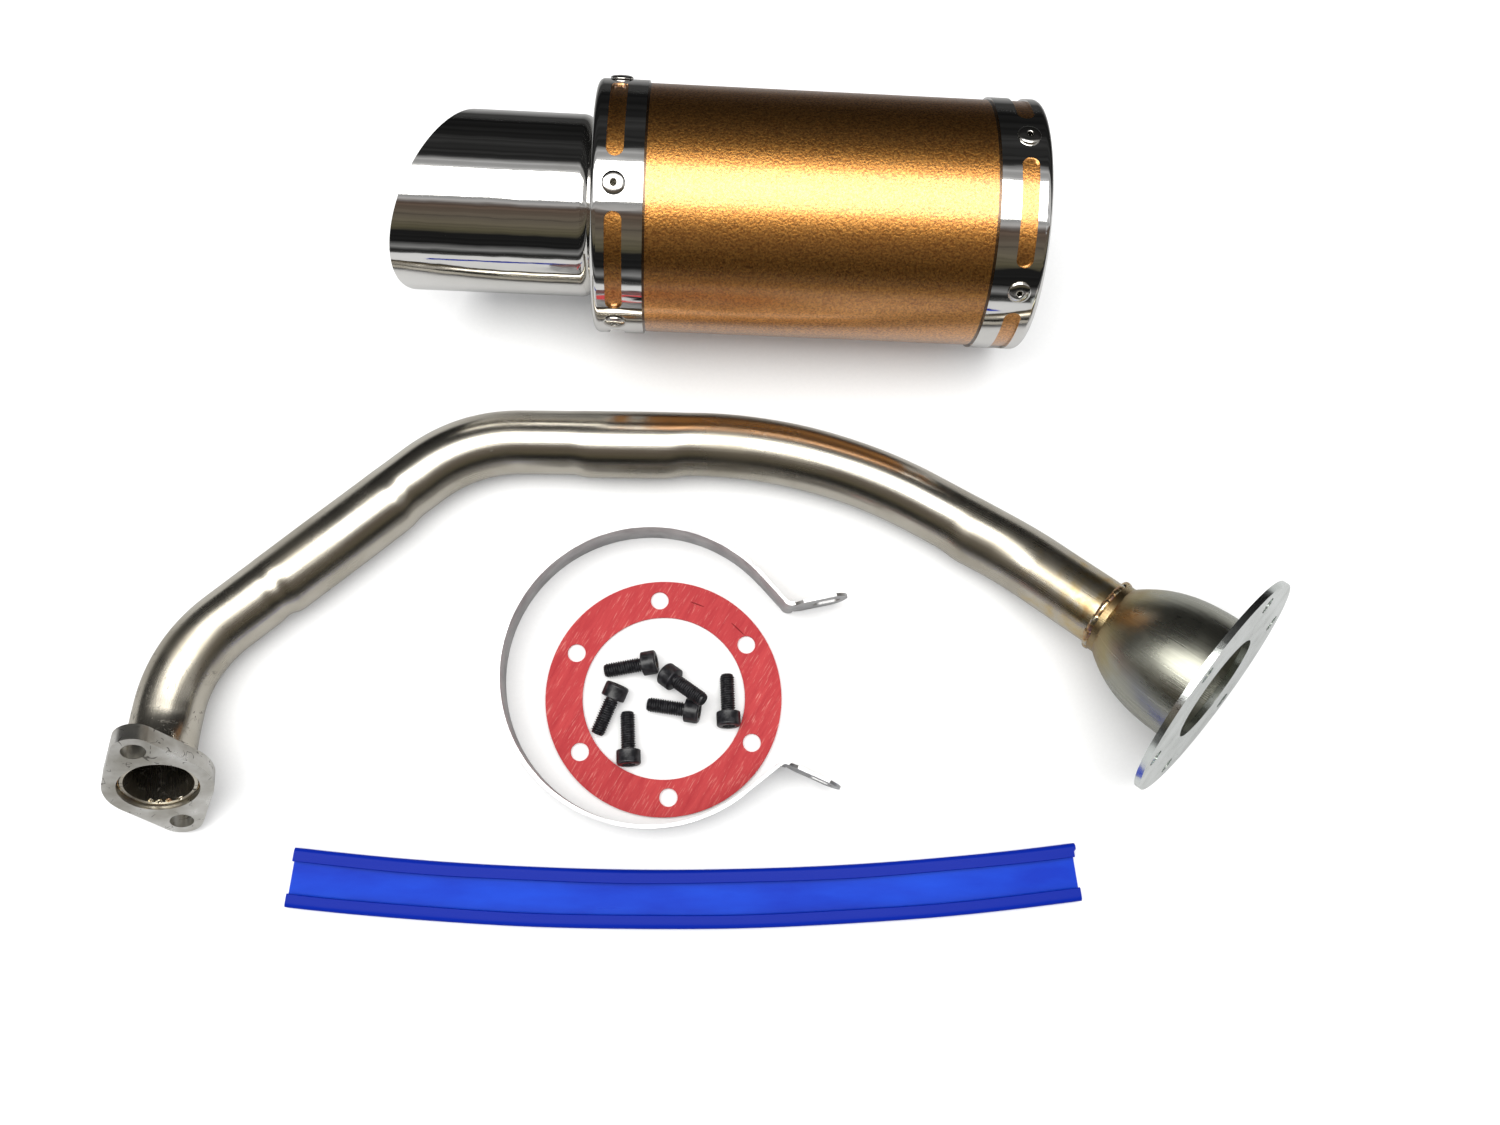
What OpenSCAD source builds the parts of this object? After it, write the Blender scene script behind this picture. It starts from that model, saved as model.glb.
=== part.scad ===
// Small racing exhaust kit, laid out loose on a flat surface:
//   - a header pipe with a two-bolt engine flange and a bell with a six-bolt flange,
//   - a round canister with a slash-cut tip,
//   - an open clamp band, its channel liner, a gasket and six cap screws.
// Frame: +X and +Y lie on the surface, +Z is up, and the origin is on the surface at the middle
// of the whole layout. All sizes are in millimetres and all angles in degrees.

/* [Header pipe] */
// Outside diameter of the header pipe
pipe_od = 28; // [24:0.5:32]
// Wall of the header pipe
pipe_wall = 1.2; // [0.8:0.1:2]
// How far the pipe's end sits behind the face of the engine flange
port_recess = 2; // [1:0.5:3]
// Distance from the engine flange's face to the pipe's first corner
port_run = 22; // [20:0.5:26]
// Bend radius beside the engine flange
bend_port = 45; // [35:1:45]
// Bend radius of the first bend of the arch
bend_first = 50; // [35:1:52]
// Bend radius of the second bend of the arch
bend_second = 62; // [40:1:90]
// Bend radius of the long sweep
bend_sweep = 205; // [120:5:220]
// Bend radius of the rise to the bell
bend_rise = 60; // [40:1:90]

/* [Engine flange] */
// Stud spacing
stud_spacing = 49; // [44:1:56]
// Stud hole diameter
stud_hole_d = 9; // [8:0.5:10]
// Plate thickness
port_plate_t = 7; // [5:0.5:10]
// Radius of the plate around the pipe
port_body_r = 20; // [18:0.5:24]
// Radius of the plate around each stud
port_lobe_r = 8; // [7:0.5:10]
// Heading of the flange's outward normal
port_heading = -78.5; // [-90:0.5:-70]
// Rise of the flange's outward normal
port_rise = 30.8; // [25:0.5:36]

/* [Bell] */
// Outside radius of the bell's mouth
bell_mouth_r = 27.5; // [25:0.5:32]
// Length of the bell from its collar to its flange
bell_len = 44.5; // [35:0.5:55]
// Length of the collar that slips over the pipe
bell_collar = 3; // [2:0.5:6]
// Wall of the bell
bell_wall = 1.2; // [0.8:0.1:2]
// How quickly the bell opens
bell_power = 2.5; // [1.5:0.1:3.5]
// Heading of the bell's outward axis
bell_heading = -40.9; // [-48:0.1:-34]
// Rise of the bell's outward axis
bell_rise = 20; // [16:0.5:24]

/* [Six-bolt joint] */
// Distance from the bolt circle to the joint's edge
joint_rim = 8; // [7:0.5:9]
// Number of bolts
joint_bolts = 6; // [4:1:8]
// Clearance hole in the bell flange
joint_hole_d = 7; // [6.5:0.1:8]
// Bell flange thickness
joint_plate_t = 2.5; // [2:0.25:4]
// Opening in the bell flange
joint_bore_d = 46; // [40:1:50]
// Turn of the bell flange's first hole
joint_turn = 75; // [60:1:90]
// Gasket thickness
gasket_t = 1.5; // [1:0.1:3]
// Width of the gasket's ring
gasket_rim = 15.25; // [14.5:0.25:16.5]
// Gasket bolt hole diameter
gasket_hole_d = 7.5; // [7:0.1:8]

/* [Canister] */
// Outside diameter of the sleeve
sleeve_od = 98; // [96:1:118]
// Wall of the sleeve
sleeve_wall = 1.2; // [1:0.1:2]
// Canister length over the end caps
can_len = 175; // [150:1:240]
// Width of an end cap's band
cap_len = 20; // [18:0.5:26]
// Wall of an end cap
cap_wall = 0.9; // [0.7:0.1:1.2]
// Radius of an end cap's pressed edge
cap_edge_r = 2.5; // [1.5:0.5:4]
// Rivets, and slots between them, in each cap
rivet_count = 5; // [4:1:6]
// Turn of the outlet cap's first rivet
outlet_turn = 51; // [0:1:71]
// Turn of the inlet cap's first rivet
inlet_turn = 19; // [0:1:71]
// Rivet line's distance from the cap's face
rivet_inset = 9; // [8:0.5:10]
// Rivet shank diameter
rivet_d = 4.8; // [4:0.2:5]
// Rivet head diameter
rivet_head_d = 9; // [8:0.5:10]
// Width of a slot in a cap
slot_w = 6.6; // [5:0.2:8]
// Angle that a slot spans, between its end centres
slot_span = 41; // [30:1:44]
// Outside diameter of the perforated core tube
core_od = 42; // [36:1:46]
// Wall of the core tube
core_wall = 1; // [0.8:0.1:1.5]
// Thickness of the tapped inlet plate
inlet_plate_t = 6; // [5:0.5:6]
// Tapping drill diameter in the inlet plate
tap_d = 5; // [4.8:0.1:5.2]

/* [Tip] */
// Outside diameter of the tip
tip_od = 72; // [64:1:80]
// Wall of the tip
tip_wall = 1.2; // [0.8:0.1:2]
// Radius of the tip's shoulder
tip_shoulder = 6; // [4:0.5:9]
// Length of the tip on its centre line
tip_len = 60.5; // [50:0.5:80]
// Angle of the slash cut
slash_angle = 26.5; // [0:0.5:35]
// Direction in which the slash is longest
slash_turn = 248; // [0:1:360]

/* [Clamp] */
// How much further out than the canister the open band springs
clamp_spring = 10.2; // [8:0.1:14]
// Band thickness
clamp_t = 1.5; // [1:0.1:2]
// Band width
clamp_w = 21; // [18:0.5:26]
// Angle at which the round part ends, upper side
clamp_end_upper = 42; // [35:1:50]
// Angle at which the round part ends, lower side
clamp_end_lower = -52; // [-58:1:-40]
// Straight run to the upper ear
run_upper = 17; // [12:1:22]
// Straight run to the lower ear
run_lower = 21.5; // [16:1:26]
// Turn of the upper ear
turn_upper = 60; // [40:1:80]
// Turn of the lower ear
turn_lower = 62; // [40:1:80]
// Ear length
ear_len = 26; // [22:1:32]
// Ear slot length
ear_slot_l = 12; // [8:1:13]
// Ear slot width
ear_slot_w = 7; // [6:0.5:9]

/* [Liner] */
// Liner width
liner_w = 23.4; // [22:0.2:30]
// Liner height
liner_h = 4.4; // [4:0.2:6]
// Liner wall
liner_wall = 1.2; // [0.8:0.1:1.5]
// How far each lip folds in over the base
liner_lip = 5.5; // [3:0.5:7]
// Radius of the liner's lazy bow
liner_bow = 1303; // [900:1:3000]
// Liner length
liner_len = 319; // [280:1:340]

/* [Cap screws] */
// Thread diameter
screw_d = 6; // [5:0.5:6]
// Length under the head
screw_len = 16; // [12:1:18]
// Thread pitch
screw_pitch = 1; // [0.8:0.1:1.25]
// Head diameter
head_d = 10; // [8.5:0.5:10]
// Head height
head_h = 6; // [5:0.5:6]
// Hex socket across flats
hex_af = 5; // [4:0.5:5]

/* [Places on the surface] */
// Centre of the engine flange's face
port_at = [-211.1, -114.2];
// Centre of the bell flange's face
bell_at = [196.9, -75.8];
// Centre of the canister's outlet face
can_at = [-47.4, 119.3];
// Heading of the canister, outlet to inlet
can_heading = -1.5; // [-5:0.1:5]
// Centre of the clamp
clamp_at = [-24.3, -67.8];
// Centre of the gasket
gasket_at = [-18.9, -75.9];
// Turn of the gasket's first hole
gasket_turn = 33.2; // [0:0.1:60]
// Lowest point of the liner's bow
liner_at = [-14.7, -157.4];
// Turn of the liner's middle along the bow
liner_mid = 0.3; // [-2:0.1:2]

/* [Hidden] */
$fn = 96;
// Radial clearance of a sliding or press-formed seat
seat = 0.1;
// Radial clearance around a rivet, a welded pipe or a core tube
snug = 0.05;
pipe_r = pipe_od / 2;
bore_r = pipe_r - pipe_wall;
// Seat around the pipe's end in the engine flange
socket_r = pipe_r + 1;
// The six-bolt joint is as wide as the sleeve.
joint_od = sleeve_od;
joint_pcd = joint_od - 2 * joint_rim;
gasket_id = joint_od - 2 * gasket_rim;

// Unit vector of a heading and a rise
function dir(h, e) = [cos(e) * cos(h), cos(e) * sin(h), sin(e)];
function unit(v) = v / norm(v);

port_n = dir(port_heading, port_rise);
bell_n = dir(bell_heading, bell_rise);
// The engine flange rests on its lower lobe, and the bell flange on its rim.
port_p = [port_at.x, port_at.y,
    (stud_spacing / 2 + port_lobe_r) * cos(port_rise) + port_plate_t * sin(port_rise)];
bell_p = [bell_at.x, bell_at.y,
    joint_od / 2 * cos(bell_rise) + joint_plate_t * sin(bell_rise)];

// The pipe's corners: it leaves the port, comes down to lie on the surface along the arch,
// and rises again on the bell's axis.
port_corner = port_p - port_run * port_n;
bell_corner = bell_p - (bell_p.z - pipe_r) / sin(bell_rise) * bell_n;
pipe_corners = [
    port_p - port_recess * port_n,
    port_corner,
    [-212, -61.5, pipe_r],
    [-102, 29.2, pipe_r],
    [44, 29.4, pipe_r],
    bell_corner,
    bell_p - (joint_plate_t + bell_len) * bell_n];
pipe_bends = [0, bend_port, bend_first, bend_second, bend_sweep, bend_rise, 0];

// Direction of each run, the turn at each corner and the length that a bend takes from each run
function run_dir(i) = unit(pipe_corners[i + 1] - pipe_corners[i]);
function turn_at(i) = i == 0 || i == len(pipe_corners) - 1 ? 0
    : acos(run_dir(i - 1) * run_dir(i));
function trim_at(i) = pipe_bends[i] * tan(turn_at(i) / 2);

cap_r = sleeve_od / 2 + seat + cap_wall;
sleeve_ri = sleeve_od / 2 - sleeve_wall;
core_r = core_od / 2;
tip_r = tip_od / 2;
// Inner skirts of both end plates
skirt_r = sleeve_ri - seat;
skirt_wall = 1.5;
skirt_len = 16;
face_gap = 0.3;
plate_gap = 0.5;

// ---- frames ----------------------------------------------------------------

// Puts +Z along z and +X as near to x as it can be.
module frame_at(p, z, x) {
    c = unit(z);
    a = unit(x - (x * c) * c);
    b = cross(c, a);
    multmatrix([[a.x, b.x, c.x, p.x], [a.y, b.y, c.y, p.y], [a.z, b.z, c.z, p.z]]) children();
}

module port_frame() frame_at(port_p, port_n, [0, 0, 1]) children();
module bell_frame() frame_at(bell_p, bell_n, [0, 0, 1]) children();

// +Z runs along the canister from its outlet face to its inlet face.
module can_frame() translate([can_at.x, can_at.y, cap_r]) rotate([0, 0, can_heading])
    rotate([0, 90, 0]) children();

module ring(r_out, r_in, h) difference() {
    cylinder(r = r_out, h = h);
    translate([0, 0, -1]) cylinder(r = r_in, h = h + 2);
}

module around(count, radius, turn = 0) for (k = [0:count - 1])
    rotate([0, 0, turn + k * 360 / count]) translate([radius, 0, 0]) children();

// ---- header pipe -----------------------------------------------------------

module pipe_run(i) {
    a = pipe_corners[i] + trim_at(i) * run_dir(i);
    b = pipe_corners[i + 1] - trim_at(i + 1) * run_dir(i);
    side = i == 0 ? cross(run_dir(0), run_dir(1)) : cross(run_dir(i - 1), run_dir(i));
    frame_at(a, b - a, side) ring(pipe_r, bore_r, norm(b - a));
}

// A bend starts a little before its corner's first tangent point and ends a little after its
// second. Its wall is a hair thicker than a run's, so each run ends inside the bend's wall.
lap = 0.6;
proud = 0.03;

module pipe_bend(i) {
    u = run_dir(i - 1);
    v = run_dir(i);
    r = pipe_bends[i];
    c = pipe_corners[i] + r / cos(turn_at(i) / 2) * unit(v - u);
    start = pipe_corners[i] - trim_at(i) * u;
    extra = lap / r * 180 / PI;
    frame_at(c, cross(u, v), start - c) rotate([0, 0, -extra])
        rotate_extrude(angle = turn_at(i) + 2 * extra) translate([r, 0]) difference() {
            circle(pipe_r + proud);
            circle(bore_r - proud);
        }
}

module header_pipe() color("lightsteelblue") union() {
    for (i = [0:len(pipe_corners) - 2]) pipe_run(i);
    for (i = [1:len(pipe_corners) - 2]) pipe_bend(i);
}

// ---- engine flange ---------------------------------------------------------

seat_depth = port_plate_t / 2;

module head_flange() color("silver") port_frame() difference() {
    translate([0, 0, -port_plate_t]) linear_extrude(port_plate_t) hull() {
        circle(port_body_r);
        for (s = [-1, 1]) translate([s * stud_spacing / 2, 0]) circle(port_lobe_r);
    }
    translate([0, 0, -seat_depth]) cylinder(r = socket_r, h = port_plate_t);
    translate([0, 0, -port_plate_t - 1]) cylinder(r = pipe_r + snug, h = port_plate_t + 2);
    for (s = [-1, 1]) translate([s * stud_spacing / 2, 0, -port_plate_t - 1])
        cylinder(d = stud_hole_d, h = port_plate_t + 2);
}

module head_weld() color("dimgray") port_frame() translate([0, 0, -seat_depth])
    ring(socket_r, pipe_r + snug, 0.9);

// ---- bell and its flange ---------------------------------------------------

// The bell's frame runs back from the flange's rear face to the collar.
bell_steps = 18;
function bell_r(s) = pipe_r + snug + bell_wall
    + (bell_mouth_r - pipe_r - snug - bell_wall) * (1 - pow(1 - s / bell_len, bell_power));
bell_out = [for (k = [0:bell_steps]) let (s = bell_len * k / bell_steps)
    [bell_r(s), -joint_plate_t - bell_len + s]];
bell_back = -joint_plate_t - bell_len - bell_collar;

module bell() color("darkgray") bell_frame() rotate_extrude() polygon(concat(
    [[pipe_r + snug + bell_wall, bell_back]], bell_out,
    [for (k = [bell_steps:-1:0]) bell_out[k] - [bell_wall, 0]],
    [[pipe_r + snug, bell_back]]));

module neck_weld() color("peru") bell_frame() translate([0, 0, bell_back]) rotate_extrude()
    polygon([[pipe_r + snug, -2.2], [pipe_r + 1, -1.8], [pipe_r + 1.6, -0.8], [pipe_r + 1.4, 0],
        [pipe_r + snug, 0]]);

module bell_flange() color("gainsboro") bell_frame() translate([0, 0, -joint_plate_t])
    difference() {
        ring(joint_od / 2, joint_bore_d / 2, joint_plate_t);
        around(joint_bolts, joint_pcd / 2, joint_turn) translate([0, 0, -1])
            cylinder(d = joint_hole_d, h = joint_plate_t + 2);
    }

module mouth_weld() color("gray") bell_frame() translate([0, 0, -joint_plate_t])
    rotate_extrude() polygon([[bell_mouth_r + snug, 0], [bell_mouth_r + 1.6, 0],
        [bell_mouth_r + 1, -1], [bell_mouth_r + snug, -1.5]]);

// ---- canister --------------------------------------------------------------

// Holes for one cap's rivets, through the skirt, the sleeve and the cap
module rivet_holes(z, turn) around(rivet_count, skirt_r - 6, turn) translate([0, 0, z])
    rotate([0, 90, 0]) cylinder(d = rivet_d + 2 * snug, h = 12);

module sleeve() color("goldenrod") can_frame() difference() {
    translate([0, 0, cap_edge_r]) ring(sleeve_od / 2, sleeve_ri, can_len - 2 * cap_edge_r);
    rivet_holes(rivet_inset, outlet_turn);
    rivet_holes(can_len - rivet_inset, inlet_turn);
}

// A pressed cap: a band over the sleeve, a rounded edge and a face that reaches in to r_face.
// Its face is at z = 0 and its band runs towards +Z.
module cap(r_face) difference() {
    rotate_extrude() difference() {
        union() {
            translate([r_face, 0]) square([cap_r - cap_edge_r - r_face, cap_wall]);
            translate([cap_r - cap_wall, cap_edge_r]) square([cap_wall, cap_len - cap_edge_r]);
            translate([cap_r - cap_edge_r, cap_edge_r]) intersection() {
                difference() {
                    circle(cap_edge_r);
                    circle(cap_edge_r - cap_wall);
                }
                translate([0, -cap_edge_r]) square(cap_edge_r);
            }
        }
    }
    rivet_holes(rivet_inset, 0);
    for (k = [0:rivet_count - 1]) rotate([0, 0, (k + 0.5) * 360 / rivet_count]) slot_cut();
}

// A round-ended slot around the band, centred on +X
module slot_cut() translate([0, 0, rivet_inset]) {
    rotate([0, 0, -slot_span / 2]) rotate_extrude(angle = slot_span)
        translate([cap_r - 2 * cap_wall - seat, -slot_w / 2]) square([4 * cap_wall, slot_w]);
    for (s = [-1, 1]) rotate([0, 0, s * slot_span / 2]) rotate([0, 90, 0])
        translate([0, 0, cap_r - 4 * cap_wall]) cylinder(d = slot_w, h = 8 * cap_wall);
}

module outlet_cap() color("whitesmoke") can_frame() rotate([0, 0, outlet_turn])
    cap(core_r + snug);

module inlet_cap() color("whitesmoke") can_frame() translate([0, 0, can_len])
    mirror([0, 0, 1]) rotate([0, 0, inlet_turn]) cap(inlet_boss_r + snug);

// A rivet's tail is formed against the inner side of the skirt.
tail_r = skirt_r - skirt_wall;
tail_flare = 0.8;

// Pop rivet on +X: a domed head with its open mandrel hole, a shank and a formed tail
module rivet() rotate([0, 90, 0]) rotate_extrude() polygon(concat(
    [for (k = [0:6]) let (a = 90 * k / 6)
        [1.1 + (rivet_head_d / 2 - 1.1) * sin(a), cap_r + 0.05 + 1.4 * cos(a)]],
    [[rivet_d / 2, cap_r + 0.05], [rivet_d / 2, tail_r - 0.2],
     [rivet_d / 2 + tail_flare, tail_r - 0.5], [rivet_d / 2 + tail_flare - 0.2, tail_r - 1.6],
     [1.1, tail_r - 1.8]]));

module rivets(turn) for (k = [0:rivet_count - 1])
    rotate([0, 0, turn + k * 360 / rivet_count]) rivet();

module outlet_rivets() color("white") can_frame() translate([0, 0, rivet_inset])
    rivets(outlet_turn);

module inlet_rivets() color("white") can_frame() translate([0, 0, can_len - rivet_inset])
    rivets(inlet_turn);

module outlet_bulkhead() color("gray") can_frame() translate([0, 0, cap_wall + plate_gap])
    difference() {
        union() {
            ring(skirt_r, core_r + snug, skirt_wall);
            ring(skirt_r, skirt_r - skirt_wall, skirt_len);
        }
        rivet_holes(rivet_inset - cap_wall - plate_gap, outlet_turn);
    }

// The plate's middle stands flush in the cap's opening, and its rim lies behind the cap's lip.
// It is relieved a little where each rivet's tail spreads.
inlet_boss_r = joint_pcd / 2 + tap_d / 2 + 2;

module inlet_plate() color("lightgray") can_frame() translate([0, 0, can_len])
    mirror([0, 0, 1]) difference() {
        union() {
            ring(inlet_boss_r, core_r - core_wall, inlet_plate_t);
            translate([0, 0, cap_wall + face_gap])
                ring(skirt_r, inlet_boss_r - 2, inlet_plate_t - cap_wall - face_gap);
            translate([0, 0, cap_wall + face_gap])
                ring(skirt_r, skirt_r - skirt_wall, skirt_len);
        }
        translate([0, 0, inlet_plate_t - 2]) cylinder(r = core_r + snug, h = 3);
        around(joint_bolts, joint_pcd / 2) translate([0, 0, -1])
            cylinder(d = tap_d, h = inlet_plate_t + 2);
        rivet_holes(rivet_inset, inlet_turn);
        around(rivet_count, inlet_boss_r - 2, inlet_turn) translate([0, 0, rivet_inset])
            rotate([0, 90, 0])
                cylinder(r = rivet_d / 2 + tail_flare + snug, h = tail_r - inlet_boss_r + 1.8);
    }

// The core runs from the inlet plate's seat, through the outlet cap and a little into the tip.
core_reach = 4;
core_len = can_len - inlet_plate_t + 2 - plate_gap + core_reach;
core_rows = 11;
core_margin = 26;
core_holes = 8;
core_hole_d = 4;

module core_tube() color("silver") can_frame() translate([0, 0, -core_reach]) difference() {
    ring(core_r, core_r - core_wall, core_len);
    for (k = [0:core_rows - 1])
        translate([0, 0, core_reach + core_margin
                + k * (can_len - 2 * core_margin) / (core_rows - 1)])
            around(core_holes, core_r - 3, (k % 2) * 180 / core_holes) rotate([0, 90, 0])
                cylinder(d = core_hole_d, h = 6);
}

// Glass-fibre packing, drawn in at both ends to clear the skirts and the rivet tails
module packing() color("khaki") can_frame() rotate_extrude() polygon([
    [core_r + seat, cap_wall + plate_gap + skirt_wall + 0.2],
    [skirt_r - 4, cap_wall + plate_gap + skirt_wall + 0.2],
    [skirt_r - 4, skirt_len + 4], [skirt_r - 1, skirt_len + 8],
    [skirt_r - 1, can_len - skirt_len - 8], [skirt_r - 4, can_len - skirt_len - 4],
    [skirt_r - 4, can_len - inlet_plate_t - 0.2],
    [core_r + seat, can_len - inlet_plate_t - 0.2]]);

// Everything beyond the slash plane
module slash_cut() translate([0, 0, -tip_len]) rotate([0, 0, slash_turn])
    rotate([0, slash_angle, 0]) translate([-tip_od, -tip_od, -2 * tip_od])
        cube(2 * tip_od);

// The tip is a deep cup with a rounded shoulder. Its base lies on the outlet cap.
module tip_profile(r, edge, base) {
    full = tip_len + tip_r;
    translate([0, -full]) square([r, full - tip_shoulder]);
    translate([0, -tip_shoulder]) square([r - edge, tip_shoulder - base]);
    intersection() {
        translate([r - edge, -tip_shoulder]) circle(edge);
        translate([r - edge, -tip_shoulder]) square(edge);
    }
}

module tip() color("whitesmoke") can_frame() difference() {
    rotate_extrude() difference() {
        tip_profile(tip_r, tip_shoulder, 0);
        tip_profile(tip_r - tip_wall, tip_shoulder - tip_wall, tip_wall);
        translate([0, -2 * tip_wall]) square([core_r + snug, 3 * tip_wall]);
    }
    slash_cut();
}

module tip_weld() color("dimgray") can_frame() translate([0, 0, -tip_wall]) rotate_extrude()
    polygon([[core_r + snug, 0], [core_r + 2, 0], [core_r + 1.2, -1.2], [core_r + snug, -2]]);

// ---- clamp band ------------------------------------------------------------

clamp_r = cap_r + clamp_spring;
// Inside radius of the tight bend at an ear
ear_bend = 2;
// The straight stretches of the band are a little thinner than its curved stretches.
straight_inset = 0.1;
straight_t = clamp_t - 2 * straight_inset;

// A curved stretch of the band, from 0 to angle. It laps past both its ends, as a pipe bend does.
module band_arc(r_in, angle) {
    extra = lap / r_in * 180 / PI;
    rotate([0, 0, -extra]) rotate_extrude(angle = angle + 2 * extra)
        translate([r_in, 0]) square([clamp_t, clamp_w]);
}

// One end of the band: a straight run along +X, a tight bend outwards (+Y) and an ear
module band_end(run, turn) {
    bend_r = clamp_t + ear_bend;
    trim = bend_r * tan(turn / 2);
    translate([0, straight_inset, 0]) cube([run - trim, straight_t, clamp_w]);
    translate([run - trim, bend_r, 0]) {
        rotate([0, 0, -90]) band_arc(ear_bend, turn);
        rotate([0, 0, turn]) translate([0, -bend_r, 0]) ear(ear_len - trim);
    }
}

// An ear standing in the XZ plane, with a rounded end and a slot along it
module ear(l) translate([0, clamp_t - straight_inset, 0]) rotate([90, 0, 0])
    linear_extrude(straight_t)
    difference() {
        intersection() {
            square([l, clamp_w]);
            translate([l - 0.6 * clamp_w, clamp_w / 2]) circle(0.6 * clamp_w);
        }
        slot_at = l - 9;
        translate([slot_at - (ear_slot_l - ear_slot_w) / 2, (clamp_w - ear_slot_w) / 2])
            square([ear_slot_l - ear_slot_w, ear_slot_w]);
        for (s = [-1, 1])
            translate([slot_at + s * (ear_slot_l - ear_slot_w) / 2, clamp_w / 2])
                circle(d = ear_slot_w);
    }

module clamp_band() color("gray") translate([clamp_at.x, clamp_at.y, 0]) union() {
    rotate([0, 0, clamp_end_upper]) band_arc(clamp_r, 360 - clamp_end_upper + clamp_end_lower);
    rotate([0, 0, clamp_end_upper]) translate([clamp_r, 0, 0]) rotate([0, 0, -90])
        band_end(run_upper, turn_upper);
    mirror([0, 1, 0]) rotate([0, 0, -clamp_end_lower]) translate([clamp_r, 0, 0])
        rotate([0, 0, -90]) band_end(run_lower, turn_lower);
}

// ---- liner -----------------------------------------------------------------

liner_angle = liner_len / liner_bow * 180 / PI;

// A channel whose lips fold in over its base, bowed lazily along the surface
module liner() color("royalblue") translate([liner_at.x, liner_at.y + liner_bow, 0])
    rotate([0, 0, -90 + liner_mid - liner_angle / 2]) rotate_extrude(angle = liner_angle)
        translate([liner_bow - liner_w / 2, 0]) difference() {
            square([liner_w, liner_h]);
            translate([liner_wall, liner_wall])
                square([liner_w - 2 * liner_wall, liner_h - 2 * liner_wall]);
            translate([liner_lip, liner_h / 2]) square([liner_w - 2 * liner_lip, liner_h]);
        }

// ---- gasket ----------------------------------------------------------------

module gasket() color("crimson") translate([gasket_at.x, gasket_at.y, 0]) difference() {
    ring(joint_od / 2, gasket_id / 2, gasket_t);
    around(joint_bolts, joint_pcd / 2, gasket_turn) translate([0, 0, -1])
        cylinder(d = gasket_hole_d, h = gasket_t + 2);
}

// ---- cap screws ------------------------------------------------------------

// Crest and root of each thread turn, from the tip to the head
thread_depth = 0.6 * screw_pitch;
turns = floor(screw_len / screw_pitch) - 1;
thread = [for (k = [1:turns], s = [0, 0.5])
    [screw_d / 2 - (s == 0 ? thread_depth : 0), (k + s) * screw_pitch]];

// A cap screw along +Z from its tip, with the head at the top
module screw() color("dimgray") difference() {
    rotate_extrude() polygon(concat(
        [[0, 0], [screw_d / 2 - thread_depth, 0], [screw_d / 2 - 0.1, 0.7 * screw_pitch]],
        thread,
        [[screw_d / 2 - thread_depth, screw_len - 0.4], [screw_d / 2, screw_len],
         [head_d / 2 - 0.2, screw_len], [head_d / 2, screw_len + 0.3],
         [head_d / 2, screw_len + head_h - 0.6], [head_d / 2 - 0.6, screw_len + head_h],
         [0, screw_len + head_h]]));
    translate([0, 0, screw_len + head_h / 2]) cylinder(d = hex_af / cos(30), h = head_h, $fn = 6);
}

// A screw lies on its tip and on the edge of its head.
lie_angle = atan((head_d - screw_d + 2 * thread_depth) / 2 / screw_len);

module lying(tip_at, heading) translate([tip_at.x, tip_at.y,
    (screw_d / 2 - thread_depth) * cos(lie_angle) + 0.02])
    rotate([0, 0, heading]) rotate([0, 90 - lie_angle, 0]) screw();

// The second screw leans: its head's rim is on the surface and its tip is on the fourth's head.
lean_gap = 0.2;
lean_tip = [-2.6, -78.1, head_d + screw_d / 2 - thread_depth + lean_gap];
lean_rim = [screw_len + head_h - 0.6, head_d / 2];
lean_angle = asin(lean_tip.z / norm(lean_rim)) - atan(lean_rim.y / lean_rim.x);
lean_heading = 142.8;

module leaning() translate(lean_tip) rotate([0, 0, lean_heading])
    rotate([0, 90 + lean_angle, 0]) screw();

module screw_1() lying([-43.5, -65], 9.7);
module screw_2() leaning();
module screw_3() lying([7.2, -66.3], -88);
module screw_4() lying([-25.6, -78.7], -9);
module screw_5() lying([-46.3, -91], 66.8);
module screw_6() lying([-33.9, -82.1], -87.3);

header_pipe();
head_flange();
head_weld();
bell();
neck_weld();
bell_flange();
mouth_weld();
sleeve();
outlet_cap();
inlet_cap();
outlet_rivets();
inlet_rivets();
outlet_bulkhead();
inlet_plate();
core_tube();
packing();
tip();
tip_weld();
clamp_band();
liner();
gasket();
screw_1();
screw_2();
screw_3();
screw_4();
screw_5();
screw_6();
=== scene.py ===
# %% [markdown]
# # A small racing exhaust kit
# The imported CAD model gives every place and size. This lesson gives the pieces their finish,
# and makes again, with finer surfaces, those pieces whose real shape has more in it than a CAD
# solid holds: creases, threads, weld ripples.

# %% Load the frame
import math

import bpy
import numpy as np
from mathutils import Matrix, Vector


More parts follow.
